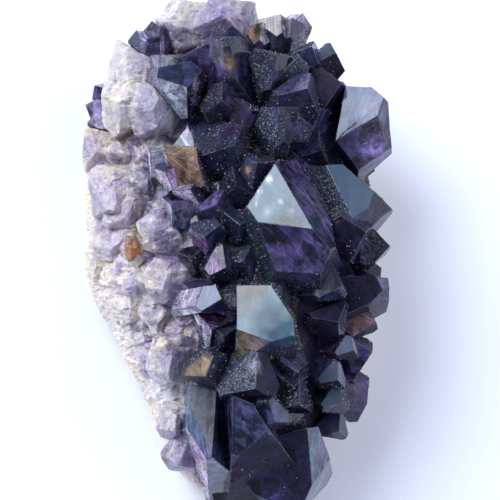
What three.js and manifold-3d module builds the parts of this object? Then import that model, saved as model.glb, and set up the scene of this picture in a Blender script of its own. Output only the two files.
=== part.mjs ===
// Amethyst cluster: a loose specimen of dark violet quartz points on a pale broken matrix.
// Millimetres, +Z up. The origin is the middle of the flat cut underside, at z = 0, +Y runs along
// the specimen and +X to the side where the points stand out furthest.
// The pieces are the matrix rock with its broken pale quartz, the main crust of points that have
// grown into one another, and two small groups of points on the left and upper rims.

import * as THREE from 'three';
import { mergeVertices } from 'three/addons/utils/BufferGeometryUtils.js';
import Module from 'manifold-3d';

const wasm = await Module();
wasm.setup();

// Driving dimensions of the matrix rock: place and height of its crest, height of its widest
// level, how far the cut underside stands back from that, and the roughness of its surface
const CREST = new THREE.Vector2(5, 2);
const CREST_HEIGHT = 28.5;
const WIDEST_AT = 9;
const BASE_INSET = 3.5;
const ROUGHNESS = 0.9;
const STEPS_ROUND = 48;

// Gap between two pieces that touch, and thickness of the crust that ties the points together
const GAP = 0.3;
const CRUST = 2.2;

// Quartz: the end faces of a point stand at this angle to its long axis, between normals
const POINT_ANGLE = THREE.MathUtils.degToRad(51.8);

// Plan outline of the rock at its widest, anticlockwise from the right, x and y
const ROCK_OUTLINE = [
  [27, 0], [28, 15], [26, 30], [21, 42], [12, 52], [0, 57], [-12, 57], [-22, 52], [-29, 43],
  [-33, 30], [-34, 16], [-34, 3], [-32, -6], [-28, -14], [-22, -26], [-16, -39], [-11, -48],
  [-4, -52], [6, -51], [14, -44], [20, -32], [25, -16],
];

// Left edge of the crust of points, from the lower end to the upper end, x and y
const CRUST_EDGE = [
  [-3, -60], [-7, -46], [-8, -30], [-7, -14], [-9, -2], [-10, 6], [-14, 12], [-16, 19],
  [-11, 26], [-10, 34], [-15, 44], [-8, 50], [6, 62],
];

// Blocks of broken pale quartz that stand on the left wall and the upper end: middle and half sizes
const BLOCKS = [
  { middle: [-24, 38, 19], half: [7, 11, 9] },
  { middle: [-17, 32, 25], half: [7.5, 7, 7] },
  { middle: [-16, 2.5, 24], half: [5, 6, 6] },
  { middle: [-27, 16, 15], half: [6, 8, 7] },
  { middle: [-31, 28, 12], half: [5, 5, 5] },
  { middle: [-2, 53, 24], half: [8, 6, 8] },
  { middle: [-11, 54.5, 21], half: [7, 6, 7] },
  { middle: [-14, -26, 22], half: [5, 7, 5] },
  { middle: [-13.5, -9, 24], half: [5, 6, 6] },
];

// The large points, each given by its flat faces: tip is the summit, a face is its bearing from
// +X, its slope from level, both in degrees, and how far out from the summit it lies
const LARGE_POINTS = [
  { tip: [16.3, -5.8, 46], foot: 24, faces: [[167, 19, 0], [228, 38, 0], [33, 56, 0], [149, 78, 14],
    [206, 77, 7.7], [256, 85, 7.4], [331, 86, 5.2], [11, 81, 3.6], [34, 85, 13], [94, 67, 15]] },
  { tip: [7.6, -29.8, 44], foot: 22, faces: [[160, 16, 0], [235, 62, 0], [282, 90, 0], [180, 88, 7],
    [88, 75, 12], [33, 75, 6.4], [2, 86, 4.8]] },
  { tip: [32.3, 29.8, 33], foot: 16, faces: [[152, 17, 0], [186, 12, 0], [338, 45, 0], [282, 34, 1.4],
    [303, 89, 8.4], [223, 90, 13], [170, 85, 8.4], [84, 76, 3.6], [43, 79, 1.1], [5, 88, 1.4],
    [350, 140, 9]] },
  { tip: [29.8, 6.9, 36], foot: 18, faces: [[151, 10, 0], [47, 60, 0], [341, 50, 0], [194, 45, 4.1],
    [93, 75, 7], [45, 74, 0.2], [38, 87, 2.2], [317, 90, 4.2], [302, 59, 2.2], [0, 140, 9]] },
  { tip: [31.6, -13.2, 30], foot: 16, faces: [[243, 23, 0], [357, 25, 0], [304, 68, 0], [88, 80, 2.9],
    [6, 92, 1.6], [290, 89, 1.4], [230, 79, 9], [172, 82, 15], [340, 140, 9]] },
  { tip: [16.2, -53.8, 24], foot: 18, faces: [[262, 30, 0], [347, 60, 0], [331, 87, 0.2], [106, 79, 11],
    [20, 85, 5.5], [350, 88, 3.2], [143, 72, 13.7], [248, 77, 5.6], [275, 85, 3], [265, 128, 7.5],
    [215, 110, 11], [330, 115, 9]] },
  { tip: [-4.5, -49.8, 31], foot: 24, faces: [[161, 15, 0], [190, 39, 0], [359, 60, 0], [82, 75, 14],
    [174, 79, 5.5], [208, 86, 1.3], [270, 80, 0.6]] },
  { tip: [6.6, -46.4, 36], foot: 22, faces: [[242, 41, 0], [332, 39, 0], [277, 60, 0], [226, 48, 1.5],
    [69, 71, 4.5], [284, 73, 2], [30, 76, 0.8], [185, 82, 6.5]] },
  { tip: [-0.9, 40.5, 39], foot: 14, faces: [[279, 20, 0], [88, 30, 0], [355, 53, 0], [201, 55, 1.4],
    [261, 60, 4.4], [90, 82, 3], [10, 84, 4.5], [185, 84, 5]] },
  { tip: [-0.1, 16.1, 40], foot: 16, faces: [[137, 41, 0], [260, 65, 0], [350, 70, 0], [186, 80, 6.2],
    [74, 69, 5]] },
  { tip: [-7.8, 12.8, 38], foot: 16, faces: [[122, 18, 0], [231, 49, 0], [10, 75, 0], [197, 86, 5.6],
    [80, 80, 4], [259, 87, 3.7]] },
];

// The other points that show: tip is the summit, lean how far the long axis tips towards +X and
// +Y for one up, across the width over the sides, turn the bearing of the first large end face,
// and minor how much further out the three small end faces sit, as a share of the width
const POINTS = [
  { tip: [10.2, 51.1, 34], lean: [0.28, 0.68], across: 8, turn: 223, minor: 0.35 },
  { tip: [15.3, 54.7, 28], lean: [0.6, 0.9], across: 6.5, turn: 60, minor: 0.35 },
  { tip: [12.7, 50.7, 33], lean: [0.2, 0.5], across: 7, turn: 210, minor: 0.35 },
  { tip: [17, 42, 36], lean: [0.3, 0.2], across: 7, turn: 130, minor: 0.35 },
  { tip: [22.4, 42, 33], lean: [0.5, 0.1], across: 8, turn: 150, minor: 0.5 },
  { tip: [23.5, 34.5, 33], lean: [0.8, -0.1], across: 9, turn: 190, minor: 0.5 },
  { tip: [14, 38.5, 38], lean: [0.2, 0.2], across: 7, turn: 160, minor: 0.35 },
  { tip: [15.8, 29.2, 41], lean: [0.3, -0.1], across: 10, turn: 130, minor: 0.5 },
  { tip: [9.2, 37.7, 40], lean: [0.1, 0.1], across: 11, turn: 200, minor: 0.45 },
  { tip: [-2.8, 27.6, 38], lean: [0, -0.3], across: 10, turn: 150, minor: 0.35 },
  { tip: [3.3, 25.4, 38], lean: [0.2, -0.1], across: 9, turn: 190, minor: 0.35 },
  { tip: [10.6, 24.6, 41], lean: [0.1, 0.2], across: 11, turn: 215, minor: 0.5 },
  { tip: [14.3, 23.2, 39], lean: [0.2, 0], across: 8, turn: 280, minor: 0.35 },
  { tip: [19, 27.8, 34], lean: [0.6, 0], across: 8, turn: 200, minor: 0.35 },
  { tip: [18.9, 18.2, 33], lean: [0.5, -0.3], across: 8, turn: 140, minor: 0.35 },
  { tip: [4.8, 12.8, 38], lean: [0.1, -0.1], across: 10, turn: 200, minor: 0.4 },
  { tip: [0.3, 7.9, 37], lean: [0, -0.2], across: 10, turn: 160, minor: 0.4 },
  { tip: [-3.9, 3.4, 37], lean: [-0.1, -0.2], across: 9, turn: 130, minor: 0.35 },
  { tip: [1.2, -1.2, 37], lean: [0.1, -0.4], across: 8, turn: 200, minor: 0.35 },
  { tip: [-6.2, -4.1, 38], lean: [-0.1, -0.4], across: 7.5, turn: 100, minor: 0.15 },
  { tip: [-1.7, -10.9, 37], lean: [0.3, -0.5], across: 8, turn: 150, minor: 0.3 },
  { tip: [-2.5, -19, 40], lean: [0.67, -0.26], across: 7, turn: 157, minor: 0.5 },
  { tip: [-4.6, -24.7, 37], lean: [-0.1, -0.6], across: 9, turn: 200, minor: 0.4 },
  { tip: [-2.1, -25.9, 36], lean: [0.3, -0.7], across: 8, turn: 320, minor: 0.3 },
  { tip: [1.8, -8.8, 35], lean: [0.1, -0.3], across: 9, turn: 120, minor: 0.3 },
  { tip: [9.8, -17.3, 36], lean: [0.3, -0.3], across: 9, turn: 130, minor: 0.3 },
  { tip: [-5.8, -34.6, 36], lean: [-0.1, -0.7], across: 9, turn: 130, minor: 0.4 },
  { tip: [4.5, -38.5, 40], lean: [0.2, -0.7], across: 12, turn: 140, minor: 0.5 },
  { tip: [8.4, -44.6, 37], lean: [0.3, -0.8], across: 8, turn: 160, minor: 0.3 },
  { tip: [27.9, -2.3, 36], lean: [0.7, -0.4], across: 11, turn: 200, minor: 0.45 },
  { tip: [33.7, -1.9, 27], lean: [1.3, -0.3], across: 10, turn: 60, minor: 0.15 },
  { tip: [18.1, -12.5, 38], lean: [0.4, -0.5], across: 8, turn: 200, minor: 0.4 },
  { tip: [22.6, -14.4, 36], lean: [0.72, -0.34], across: 8, turn: 155, minor: 0.5 },
  { tip: [21.8, -21.5, 33], lean: [0.4, -0.4], across: 9, turn: 230, minor: 0.4 },
  { tip: [30.3, -18.3, 24], lean: [1.1, -0.4], across: 9, turn: 40, minor: 0.3 },
  { tip: [25.1, -27.1, 31], lean: [0.54, -0.43], across: 5.5, turn: 143, minor: 0.45 },
  { tip: [21.7, -33.3, 30], lean: [0.42, -0.56], across: 6.5, turn: 137, minor: 0.45 },
  { tip: [22.8, -37, 27], lean: [0.53, -0.46], across: 7, turn: 143, minor: 0.45 },
  { tip: [29.5, -24.4, 22], lean: [1.3, -0.4], across: 9, turn: 80, minor: 0.25 },
  { tip: [28.4, -34.8, 18], lean: [1.2, -0.8], across: 11, turn: 100, minor: 0.3 },
  { tip: [22.2, -41.6, 20], lean: [0.32, -0.71], across: 7, turn: 134, minor: 0.4 },
  { tip: [13.7, -39.1, 31], lean: [0.4, -0.8], across: 10, turn: 140, minor: 0.3 },
  { tip: [12.8, -32.6, 33], lean: [0.4, -0.6], across: 8, turn: 200, minor: 0.3 },
  { tip: [-4.5, -51.6, 18], lean: [-0.4, -1.3], across: 7, turn: 100, minor: 0.3 },
  { tip: [-10.4, 30.9, 38], lean: [0.3, -0.5], across: 12, turn: 100, minor: 0.3 },
  { tip: [-16.6, 40.9, 34], lean: [-0.3, 0.2], across: 8, turn: 200, minor: 0.3 },
  { tip: [-6.6, 42.3, 36], lean: [0.1, 0.3], across: 11, turn: 130, minor: 0.3 },
  { tip: [-8.9, 30, 35], lean: [0.45, -0.71], across: 5, turn: 127, minor: 0.4 },
  { tip: [-0.7, 48.4, 34], lean: [0, 0.6], across: 8, turn: 150, minor: 0.3 },
  { tip: [6, 49.7, 33], lean: [0, 0.6], across: 7, turn: 200, minor: 0.3 },
  { tip: [-14.8, 12, 35], lean: [-0.4, -0.3], across: 8, turn: 220, minor: 0.4 },
  { tip: [-13.5, 5, 33], lean: [-0.3, -0.2], across: 8, turn: 200, minor: 0.35 },
  { tip: [-9.5, 8, 35], lean: [-0.1, -0.3], across: 8, turn: 240, minor: 0.35 },
  { tip: [-9.5, -7, 33], lean: [-0.3, -0.3], across: 7, turn: 220, minor: 0.3 },
  { tip: [-8, -15.5, 34], lean: [-0.2, -0.4], across: 7.5, turn: 210, minor: 0.35 },
];

// The loose groups on the rims, with the same values
const LEFT_RIM_POINTS = [
  { tip: [-32.5, 42, 17], lean: [-1.2, 0.7], across: 6, turn: 20, minor: 0.3 },
  { tip: [-34.6, 38, 15], lean: [-1.5, 0.2], across: 7, turn: 80, minor: 0.3 },
  { tip: [-34, 33.5, 15], lean: [-1.5, -0.1], across: 6.5, turn: 140, minor: 0.3 },
];
const UPPER_RIM_POINTS = [
  { tip: [-22.6, 52.5, 24], lean: [-0.5, 1], across: 6, turn: 100, minor: 0.3 },
  { tip: [-19.2, 55, 24], lean: [-0.2, 1.1], across: 7, turn: 40, minor: 0.3 },
  { tip: [-15.5, 56.5, 25], lean: [0, 1.1], across: 6.5, turn: 70, minor: 0.3 },
];

// Repeatable scatter between 0 and 1 for item i and channel k
function scatter(i, k) {
  const value = Math.sin(i * 12.9898 + k * 78.233 + 1) * 43758.5453;
  return value - Math.floor(value);
}

// A closed solid from corners and the corner numbers of its triangles
function solidOf(corners, triangles) {
  return new wasm.Manifold(new wasm.Mesh({
    numProp: 3,
    vertProperties: new Float32Array(corners.flatMap((p) => [p.x, p.y, p.z])),
    triVerts: new Uint32Array(triangles),
  }));
}

// The place where three flat cuts meet, or nothing where they don't
function meeting(a, b, c) {
  const volume = new THREE.Vector3().crossVectors(a.normal, b.normal).dot(c.normal);
  if (Math.abs(volume) < 1e-5) return null;
  return new THREE.Vector3()
    .addScaledVector(new THREE.Vector3().crossVectors(b.normal, c.normal), a.reach)
    .addScaledVector(new THREE.Vector3().crossVectors(c.normal, a.normal), b.reach)
    .addScaledVector(new THREE.Vector3().crossVectors(a.normal, b.normal), c.reach)
    .divideScalar(volume);
}

// Corner numbers of one face in order round its normal
function ringOf(face, corners, normal) {
  const middle = new THREE.Vector3();
  face.forEach((i) => middle.addScaledVector(corners[i], 1 / face.length));
  const across = corners[face[0]].clone().sub(middle).normalize();
  const along = new THREE.Vector3().crossVectors(normal, across);
  const bearing = (i) => {
    const arm = corners[i].clone().sub(middle);
    return Math.atan2(arm.dot(along), arm.dot(across));
  };
  return [...face].sort((i, j) => bearing(i) - bearing(j));
}

// A faceted solid from flat cuts. Each cut keeps the points p with normal.p up to its reach.
function facetedSolid(cuts) {
  const corners = [];
  const faces = cuts.map(() => []);
  cuts.forEach((first, a) => cuts.slice(a + 1).forEach((second, b) => {
    cuts.slice(a + b + 2).forEach((third, c) => {
      const p = meeting(first, second, third);
      if (!p || cuts.some((cut) => cut.normal.dot(p) > cut.reach + 1e-4)) return;
      const known = corners.findIndex((q) => q.distanceToSquared(p) < 1e-6);
      const corner = known >= 0 ? known : corners.push(p) - 1;
      [a, a + b + 1, a + b + c + 2].forEach((face) => {
        if (!faces[face].includes(corner)) faces[face].push(corner);
      });
    });
  }));
  const triangles = [];
  faces.forEach((face, number) => {
    if (face.length < 3) return;
    const ring = ringOf(face, corners, cuts[number].normal);
    for (let i = 1; i + 1 < ring.length; i += 1) triangles.push(ring[0], ring[i], ring[i + 1]);
  });
  return solidOf(corners, triangles);
}

// A flat cut with its bearing and slope in degrees, lying step beyond a place
function cutAt(place, bearing, slope, step) {
  const [b, s] = [bearing, slope].map(THREE.MathUtils.degToRad);
  const normal = new THREE.Vector3(Math.sin(s) * Math.cos(b), Math.sin(s) * Math.sin(b), Math.cos(s));
  return { normal, reach: normal.dot(place) + step };
}

// The cuts of a large point, from its own list of faces
function largePoint({ tip, foot, faces }) {
  const summit = new THREE.Vector3(...tip);
  const cuts = faces.map(([bearing, slope, step]) => cutAt(summit, bearing, slope, step));
  return [...cuts, cutAt(summit, 0, 180, foot)];
}

// The cuts of a quartz point: three large and three small end faces over six uneven sides
function quartzPoint({ tip, lean, across, turn, minor }, seed) {
  const summit = new THREE.Vector3(...tip);
  const axis = new THREE.Vector3(lean[0], lean[1], 1).normalize();
  const right = new THREE.Vector3(1, 0, 0);
  right.addScaledVector(axis, -right.dot(axis)).normalize();
  const up = new THREE.Vector3().crossVectors(axis, right);
  const cuts = [];
  for (let face = 0; face < 6; face += 1) {
    const bearing = THREE.MathUtils.degToRad(turn + face * 60);
    const side = right.clone().multiplyScalar(Math.cos(bearing)).addScaledVector(up, Math.sin(bearing));
    const end = side.clone().multiplyScalar(Math.sin(POINT_ANGLE));
    end.addScaledVector(axis, Math.cos(POINT_ANGLE));
    const small = face % 2;
    const stepBack = small ? across * minor * (0.8 + 0.4 * scatter(seed, face)) : 0;
    const half = across * (small ? 0.52 : 0.4) * (0.85 + 0.3 * scatter(seed, face + 10));
    cuts.push({ normal: end, reach: end.dot(summit) + stepBack });
    cuts.push({ normal: side, reach: side.dot(summit) + half });
  }
  const length = across * 1.1 + 6;
  cuts.push({ normal: axis.clone().negate(), reach: length - axis.dot(summit) });
  return cuts;
}

// A block of broken quartz: an uneven lump with flat breaks all round
function brokenBlock({ middle, half }, seed, gap) {
  const place = new THREE.Vector3(...middle);
  const breaks = 13;
  const cuts = [];
  for (let i = 0; i < breaks; i += 1) {
    const level = 1 - (2 * (i + 0.5)) / breaks + 0.2 * (scatter(seed, i) - 0.5);
    const bearing = i * 2.39996 + 1.2 * scatter(seed, i + 20);
    const round = Math.sqrt(Math.max(0, 1 - level * level));
    const normal = new THREE.Vector3(round * Math.cos(bearing), round * Math.sin(bearing), level);
    normal.normalize();
    const stretch = Math.hypot(normal.x * half[0], normal.y * half[1], normal.z * half[2]);
    cuts.push({ normal, reach: normal.dot(place) + stretch * (0.72 + 0.28 * scatter(seed, i + 40)) + gap });
  }
  return facetedSolid(cuts);
}

// Closed smooth outline through the plan points
const outline = new THREE.CatmullRomCurve3(
  ROCK_OUTLINE.map(([x, y]) => new THREE.Vector3(x, y, 0)), true, 'catmullrom', 0.5,
);

// How much of the rise is reached at a share f of the way from the crest to the edge. The left
// wall is broken off nearly straight, and the other sides are domed.
function riseAt(f, rightward) {
  const broken = THREE.MathUtils.smoothstep(-rightward, 0, 0.8);
  const power = THREE.MathUtils.lerp(3, 2.2, broken);
  const root = THREE.MathUtils.lerp(1.5, 1, broken);
  return Math.max(0, 1 - f ** power) ** (1 / root);
}

// Point on the rock, grown outwards by a gap: t runs round the outline and f from the crest, 0,
// to the widest edge, 1
function rockPoint(t, f, gap) {
  const edge = outline.getPoint(t % 1);
  const reach = new THREE.Vector2(edge.x - CREST.x, edge.y - CREST.y);
  const span = reach.length();
  const x = CREST.x + reach.x * f * (1 + gap / span);
  const y = CREST.y + reach.y * f * (1 + gap / span);
  const top = CREST_HEIGHT + gap * 0.7;
  const bottom = WIDEST_AT + gap * 0.5;
  return new THREE.Vector3(x, y, bottom + (top - bottom) * riseAt(f, reach.x / span));
}

// Outward direction of the rock at t and f
function rockNormal(t, f) {
  const step = 0.01;
  const inner = Math.min(f, 1 - step);
  const outward = rockPoint(t, inner + step, 0).sub(rockPoint(t, inner, 0));
  const round = rockPoint(t + step, f, 0).sub(rockPoint(t, f, 0));
  return new THREE.Vector3().crossVectors(outward, round).normalize();
}

// The rock body as rings from the flat cut underside up to the crest. A grown body is smooth and
// runs below the underside, for cutting its neighbours.
function rockBody(gap) {
  const rough = gap > 0 ? 0 : ROUGHNESS;
  const low = gap > 0 ? -1 : 0;
  const around = (place) => Array.from({ length: STEPS_ROUND }, (unused, i) => place(i / STEPS_ROUND, i));
  const wall = (t, inset, z) => {
    const edge = rockPoint(t, 1, gap);
    const share = 1 - inset / Math.hypot(edge.x, edge.y);
    return new THREE.Vector3(edge.x * share, edge.y * share, z);
  };
  const rings = [
    around((t) => wall(t, BASE_INSET, low)),
    around((t, i) => wall(t, 1 + rough * scatter(i, 30), 3)),
  ];
  [1, 0.94, 0.86, 0.76, 0.64, 0.5, 0.36, 0.22, 0.1].forEach((f, ring) => {
    rings.push(around((t, i) => {
      const height = rough * (2 * scatter(i + ring * STEPS_ROUND, 31) - 1) * Math.min(1, f * 2);
      return rockPoint(t, f, gap).addScaledVector(rockNormal(t, Math.max(f, 0.05)), height);
    }));
  });
  const corners = [new THREE.Vector3(0, 0, low), ...rings.flat()];
  corners.push(new THREE.Vector3(CREST.x, CREST.y, CREST_HEIGHT + gap));
  const triangles = [];
  const at = (ring, i) => 1 + ring * STEPS_ROUND + (i % STEPS_ROUND);
  for (let i = 0; i < STEPS_ROUND; i += 1) {
    triangles.push(0, at(0, i + 1), at(0, i));
    for (let ring = 0; ring + 1 < rings.length; ring += 1) {
      triangles.push(at(ring, i), at(ring, i + 1), at(ring + 1, i + 1));
      triangles.push(at(ring, i), at(ring + 1, i + 1), at(ring + 1, i));
    }
    triangles.push(at(rings.length - 1, i), at(rings.length - 1, i + 1), corners.length - 1);
  }
  return solidOf(corners, triangles);
}

// x of the left edge of the crust at a given y
function crustEdgeAt(y) {
  const next = CRUST_EDGE.findIndex(([, edgeY]) => edgeY > y);
  if (next <= 0) return CRUST_EDGE[next === 0 ? 0 : CRUST_EDGE.length - 1][0];
  const [x0, y0] = CRUST_EDGE[next - 1];
  const [x1, y1] = CRUST_EDGE[next];
  return x0 + ((x1 - x0) * (y - y0)) / (y1 - y0);
}

// The largest closed body of a solid. A pocket shut in between overlapping lumps is a body of its
// own, so leaving it out fills the pocket.
function wholeBody(solid) {
  return solid.decompose().reduce((best, body) => (body.volume() > best.volume() ? body : best));
}

// Evenly spread places on the rock, each with its outward direction
function sitesOnRock(count) {
  return Array.from({ length: count }, (unused, i) => {
    const t = (i * 0.618034) % 1;
    const f = Math.sqrt((i + 0.5) / count);
    return { place: rockPoint(t, f, 0), outward: rockNormal(t, f), number: i };
  });
}

// Smaller points that fill the ground between the large ones, where their tips come out in the open
function fillPoints(shown) {
  const ground = sitesOnRock(128).filter(({ place }) => place.x > crustEdgeAt(place.y) + 1);
  const points = ground.map(({ place, outward, number }) => {
    const across = 6 + 4 * scatter(number, 1);
    const tilt = new THREE.Vector3(scatter(number, 2) - 0.5, scatter(number, 3) - 0.5, 0.25);
    const axis = outward.clone().addScaledVector(tilt, 0.7).normalize();
    axis.z = Math.max(axis.z, 0.3);
    const tip = place.clone().addScaledVector(axis, CRUST + across * (0.4 + 0.4 * scatter(number, 4)));
    return {
      tip: tip.toArray(),
      lean: [axis.x / axis.z, axis.y / axis.z],
      across,
      turn: 360 * scatter(number, 5),
      minor: 0.15 + 0.4 * scatter(number, 6),
    };
  });
  const covered = (tip, cuts) => cuts.every((cut) => cut.normal.dot(tip) < cut.reach + 1);
  return points.filter(({ tip }) => !shown.some((cuts) => covered(new THREE.Vector3(...tip), cuts)));
}

// Small broken blocks over the left wall and the upper end, beside the crust
function smallBlocks() {
  const lowest = WIDEST_AT + 4;
  const wall = sitesOnRock(105).filter(
    ({ place }) => place.x < crustEdgeAt(place.y) - 2.5 && place.z > lowest,
  );
  return wall.map(({ place, outward, number }) => {
    const size = 3.2 + 3 * scatter(number, 11);
    const middle = place.clone().addScaledVector(outward, -0.5 * size);
    return {
      middle: middle.toArray(),
      half: [12, 13, 14].map((channel) => size * (0.8 + 0.4 * scatter(number, channel))),
    };
  });
}

// The rock with its broken blocks, or the same grown by a gap for cutting its neighbours
function matrixSolid(gap) {
  const blocks = [...BLOCKS, ...smallBlocks()];
  const rock = rockBody(gap > 0 ? gap + ROUGHNESS : 0);
  return wholeBody(blocks.reduce((joined, block, seed) => joined.add(brokenBlock(block, seed, gap)), rock));
}

// Crust under the points: the rock's own form, thicker, to the right of the crust's edge
function crustBed() {
  const far = 80;
  const shape = new THREE.Shape();
  shape.moveTo(far, -far);
  shape.lineTo(far, far);
  [...CRUST_EDGE].reverse().forEach(([x, y]) => shape.lineTo(x, y));
  const block = new THREE.ExtrudeGeometry(shape, { depth: far, bevelEnabled: false });
  block.translate(0, 0, WIDEST_AT + 1);
  block.deleteAttribute('normal');
  block.deleteAttribute('uv');
  const merged = mergeVertices(block);
  const region = new wasm.Manifold(new wasm.Mesh({
    numProp: 3,
    vertProperties: merged.attributes.position.array,
    triVerts: new Uint32Array(merged.index.array),
  }));
  return rockBody(GAP + ROUGHNESS + CRUST).intersect(region);
}

// Joins points into one solid and clears it from the matrix
function grownTogether(start, points, ground) {
  const joined = points.reduce((solid, cuts) => solid.add(facetedSolid(cuts)), start);
  return wholeBody(joined.subtract(ground));
}

// A named flat-shaded mesh of a joined solid
function pieceMesh(name, solid, material) {
  const mesh = solid.getMesh();
  const geometry = new THREE.BufferGeometry();
  geometry.setAttribute('position', new THREE.BufferAttribute(new Float32Array(mesh.vertProperties), 3));
  geometry.setIndex(new THREE.BufferAttribute(new Uint32Array(mesh.triVerts), 1));
  const merged = mergeVertices(geometry, 1e-4);
  merged.computeVertexNormals();
  const piece = new THREE.Mesh(merged, material);
  piece.name = name;
  return piece;
}

const nothing = solidOf([], []);
const ground = matrixSolid(GAP);
const shown = [...LARGE_POINTS.map(largePoint), ...POINTS.map(quartzPoint)];
const fill = fillPoints(shown).map((point, i) => quartzPoint(point, i + 100));
const druse = grownTogether(crustBed(), [...shown, ...fill], ground);
const leftRim = grownTogether(nothing, LEFT_RIM_POINTS.map(quartzPoint), ground);
const upperRim = grownTogether(nothing, UPPER_RIM_POINTS.map(quartzPoint), ground);

const paleQuartz = new THREE.MeshStandardMaterial({ color: 0xd6cfd6, roughness: 0.7, metalness: 0 });
const darkAmethyst = new THREE.MeshStandardMaterial({ color: 0x2f2148, roughness: 0.12, metalness: 0 });
const lilacAmethyst = new THREE.MeshStandardMaterial({ color: 0x8d7fb0, roughness: 0.25, metalness: 0 });

const cluster = new THREE.Group();
cluster.add(pieceMesh('matrix_rock', matrixSolid(0), paleQuartz));
cluster.add(pieceMesh('amethyst_druse', druse, darkAmethyst));
cluster.add(pieceMesh('left_rim_points', leftRim, lilacAmethyst));
cluster.add(pieceMesh('upper_rim_points', upperRim, lilacAmethyst.clone()));

export default cluster;
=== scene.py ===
import math

import bmesh
import bpy
import numpy as np
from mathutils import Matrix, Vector
from mathutils.bvhtree import BVHTree


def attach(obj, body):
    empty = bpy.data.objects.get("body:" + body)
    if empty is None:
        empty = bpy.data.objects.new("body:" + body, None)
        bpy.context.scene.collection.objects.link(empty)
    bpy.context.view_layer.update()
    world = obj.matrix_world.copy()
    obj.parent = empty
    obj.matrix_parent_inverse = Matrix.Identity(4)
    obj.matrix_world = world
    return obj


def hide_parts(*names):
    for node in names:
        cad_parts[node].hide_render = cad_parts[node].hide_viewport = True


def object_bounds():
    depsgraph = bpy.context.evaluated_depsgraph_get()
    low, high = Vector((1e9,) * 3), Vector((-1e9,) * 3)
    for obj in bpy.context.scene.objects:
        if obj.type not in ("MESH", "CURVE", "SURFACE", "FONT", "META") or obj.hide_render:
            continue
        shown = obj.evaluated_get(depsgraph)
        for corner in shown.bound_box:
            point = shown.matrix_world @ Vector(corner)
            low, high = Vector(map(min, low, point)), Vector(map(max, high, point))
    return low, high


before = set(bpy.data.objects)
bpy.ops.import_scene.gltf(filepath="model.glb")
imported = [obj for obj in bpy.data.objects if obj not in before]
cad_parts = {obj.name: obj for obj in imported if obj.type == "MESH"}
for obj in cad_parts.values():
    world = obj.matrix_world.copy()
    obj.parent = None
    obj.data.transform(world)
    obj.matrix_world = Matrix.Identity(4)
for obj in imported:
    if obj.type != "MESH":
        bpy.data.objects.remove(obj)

cad_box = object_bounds()


# The matrix rock. The real piece is the wall of the hollow that the crystals lined: white to lilac
# quartz broken off nearly straight on the left, with a cream rind at its foot. It is cut flat
# underneath, and everything else stands on it. Lengths are millimetres until a mesh is made.
MM = 0.001
CREST = np.array([5.0, 2.0])
CREST_HEIGHT = 28.5
WIDEST_AT = 9.0
BASE_INSET = 3.5
ROCK_OUTLINE = np.array([
    [27, 0], [28, 15], [26, 30], [21, 42], [12, 52], [0, 57], [-12, 57], [-22, 52], [-29, 43],
    [-33, 30], [-34, 16], [-34, 3], [-32, -6], [-28, -14], [-22, -26], [-16, -39], [-11, -48],
    [-4, -52], [6, -51], [14, -44], [20, -32], [25, -16],
], float)
CRUST_EDGE = np.array([
    [-3, -60], [-7, -46], [-8, -30], [-7, -14], [-9, -2], [-10, 6], [-14, 12], [-16, 19],
    [-11, 26], [-10, 34], [-15, 44], [-8, 50], [6, 62],
], float)


def scatter(item, channel):
    """Repeatable number from 0 to 1: the fraction of a large multiple of a sine."""
    value = np.sin(item * 12.9898 + channel * 78.233 + 1) * 43758.5453
    return value - np.floor(value)


def cell_draw(cells, channel):
    """Number from 0 to 1 for each row of whole-number cell places, by mixing their bits."""
    x, y, z = (cells.astype(np.int64) & 0xFFFFF).T
    mixed = (x * 73856093) ^ (y * 19349663) ^ (z * 83492791) ^ (channel * 2654435)
    mixed = ((mixed & 0xFFFFFFFF) * 2246822519) & 0xFFFFFFFF
    mixed = (((mixed ^ (mixed >> 15)) & 0xFFFFFFFF) * 3266489917) & 0xFFFFFFFF
    return ((mixed ^ (mixed >> 16)) & 0xFFFFFF) / 0xFFFFFF


def soft_noise(points, size, channel):
    """Smooth noise from 0 to 1: random values at the corners of cubes of the given size, blended
    across each cube by the cubic step 3s^2 - 2s^3 along the three axes."""
    place = points / size
    base = np.floor(place)
    s = place - base
    s = s * s * (3 - 2 * s)
    total = np.zeros(len(points))
    for corner in np.ndindex(2, 2, 2):
        weight = np.prod(np.where(corner, s, 1 - s), axis=1)
        total += weight * cell_draw(base + corner, channel)
    return total


def chips(points, size, channel):
    """Broken faces: space is cut into uneven cells about as wide as size, and a point takes the
    height of a tilted plane through the middle of its nearest cell. Returns that height in
    millimetres, about -size/2 to size/2, and a random tone for the cell."""
    place = points / size
    base = np.floor(place)
    nearest = np.full(len(points), np.inf)
    height = np.zeros(len(points))
    tone = np.zeros(len(points))
    for step in np.ndindex(3, 3, 3):
        cell = base + step - 1
        draws = [cell_draw(cell, channel + k) for k in range(7)]
        away = place - cell - 0.1 - 0.8 * np.stack(draws[:3], axis=1)
        distance = (away ** 2).sum(axis=1)
        closer = distance < nearest
        tilt = np.stack(draws[3:6], axis=1) - 0.5
        plane = (away * tilt).sum(axis=1) * 1.6 + (draws[6] - 0.5) * 0.5
        nearest = np.where(closer, distance, nearest)
        height = np.where(closer, plane, height)
        tone = np.where(closer, draws[6], tone)
    return height * size, tone


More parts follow.
